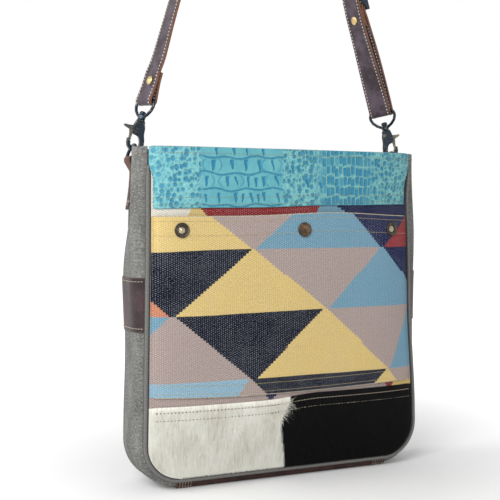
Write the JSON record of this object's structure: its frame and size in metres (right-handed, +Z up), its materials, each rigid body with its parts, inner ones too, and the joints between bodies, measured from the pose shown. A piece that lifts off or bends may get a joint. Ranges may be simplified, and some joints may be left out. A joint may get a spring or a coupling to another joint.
{
  "type": "boxy patchwork crossbody bag",
  "caption": "Boxy bag that stands on a leather base: woven patch pocket with snaps, hide strip, open zip mouth and a leather strap on swivel trigger clasps.",
  "frame": {"origin": "middle of the base's underside", "axes": "+Z up, -Y towards the front with the pocket, +X to the right seen from the front"},
  "size_m": [0.3204, 0.0774, 0.7369],
  "materials": {
    "kilim": "flat-woven wool in bold triangles",
    "canvas": "washed grey canvas",
    "turquoise": "scale-embossed turquoise leather",
    "hide": "hair-on hide, white with a black end",
    "lining": "plain cotton",
    "piping": "grey canvas over cord",
    "band_leather": "dark brown leather with cream stitching",
    "base_leather": "dark brown leather",
    "tab_leather": "brown leather",
    "strap_leather": "dark brown leather with tan cut edges",
    "gunmetal": "antique gunmetal plating",
    "gate_metal": "gunmetal worn to brass",
    "snap_bronze": "dark bronze plating",
    "brass": "antique brass",
    "zip_tape": "dark woven tape with metal teeth"
  },
  "bodies": {
    "bag": {"front_panel": "kilim", "back_panel": "canvas", "top_band": "turquoise", "cowhide_panel": "hide", "kilim_pocket": "kilim", "gusset": "canvas", "lining": "lining", "front_piping": "piping", "back_piping": "piping", "side_band_left": "band_leather", "side_band_right": "band_leather", "base_leather": "base_leather", "ring_tab_left": "tab_leather", "tab_rivet_left": "brass", "ring_tab_right": "tab_leather", "tab_rivet_right": "brass", "snap_stud_left": "gunmetal", "snap_socket_left": "gunmetal", "snap_cap_left": "gunmetal", "snap_stud_centre": "gunmetal", "snap_socket_centre": "gunmetal", "snap_cap_centre": "snap_bronze", "snap_stud_right": "gunmetal", "snap_socket_right": "gunmetal", "snap_cap_right": "gunmetal", "zip_tape_front": "zip_tape", "zip_tape_back": "zip_tape", "zip_slider": "brass"},
    "strap": {"strap": "strap_leather", "strap_slide": "gunmetal", "strap_rivet_left": "brass", "strap_rivet_right": "brass", "clasp_ring_left": "gunmetal", "clasp_ring_right": "gunmetal"},
    "d_ring_left": {"d_ring_left": "gunmetal"},
    "d_ring_right": {"d_ring_right": "gunmetal"},
    "clasp_left": {"clasp_body_left": "gunmetal", "trigger_pin_left": "gate_metal"},
    "clasp_right": {"clasp_body_right": "gunmetal", "trigger_pin_right": "gate_metal"},
    "trigger_left": {"clasp_trigger_left": "gate_metal"},
    "trigger_right": {"clasp_trigger_right": "gate_metal"},
    "zip_pull": {"zip_pull": "brass"}
  },
  "joints": [
    {"name": "strap_swing", "type": "hinge", "parent": "bag", "child": "strap", "pos_m": [0, 0.012, 0.31228], "axis": [1, 0, 0], "range_deg": [-32, 38]},
    {"name": "d_ring_left_tilt", "type": "hinge", "parent": "bag", "child": "d_ring_left", "pos_m": [-0.14712, 0.012, 0.3096], "axis": [0, 1, 0], "range_deg": [-3, 3]},
    {"name": "d_ring_right_tilt", "type": "hinge", "parent": "bag", "child": "d_ring_right", "pos_m": [0.14712, 0.012, 0.3096], "axis": [0, 1, 0], "range_deg": [-3, 3]},
    {"name": "clasp_left_swivel", "type": "hinge", "parent": "strap", "child": "clasp_left", "pos_m": [-0.13533, 0.012, 0.34939], "axis": [0.284, 0, 0.9588], "range_deg": [-8, 8]},
    {"name": "clasp_right_swivel", "type": "hinge", "parent": "strap", "child": "clasp_right", "pos_m": [0.13533, 0.012, 0.34939], "axis": [-0.284, 0, 0.9588], "range_deg": [-8, 8]},
    {"name": "trigger_left", "type": "hinge", "parent": "clasp_left", "child": "trigger_left", "pos_m": [-0.14032, 0.012, 0.33887], "axis": [0, -1, 0], "range_deg": [0, 25], "stiffness_Nm_per_rad": 0.02, "springref_deg": -17.19},
    {"name": "trigger_right", "type": "hinge", "parent": "clasp_right", "child": "trigger_right", "pos_m": [0.14032, 0.012, 0.33887], "axis": [0, 1, 0], "range_deg": [0, 25], "stiffness_Nm_per_rad": 0.02, "springref_deg": -17.19},
    {"name": "zip_pull_flip", "type": "hinge", "parent": "bag", "child": "zip_pull", "pos_m": [0.109, 0, 0.316], "axis": [0, 1, 0], "range_deg": [0, 120]}
  ]
}
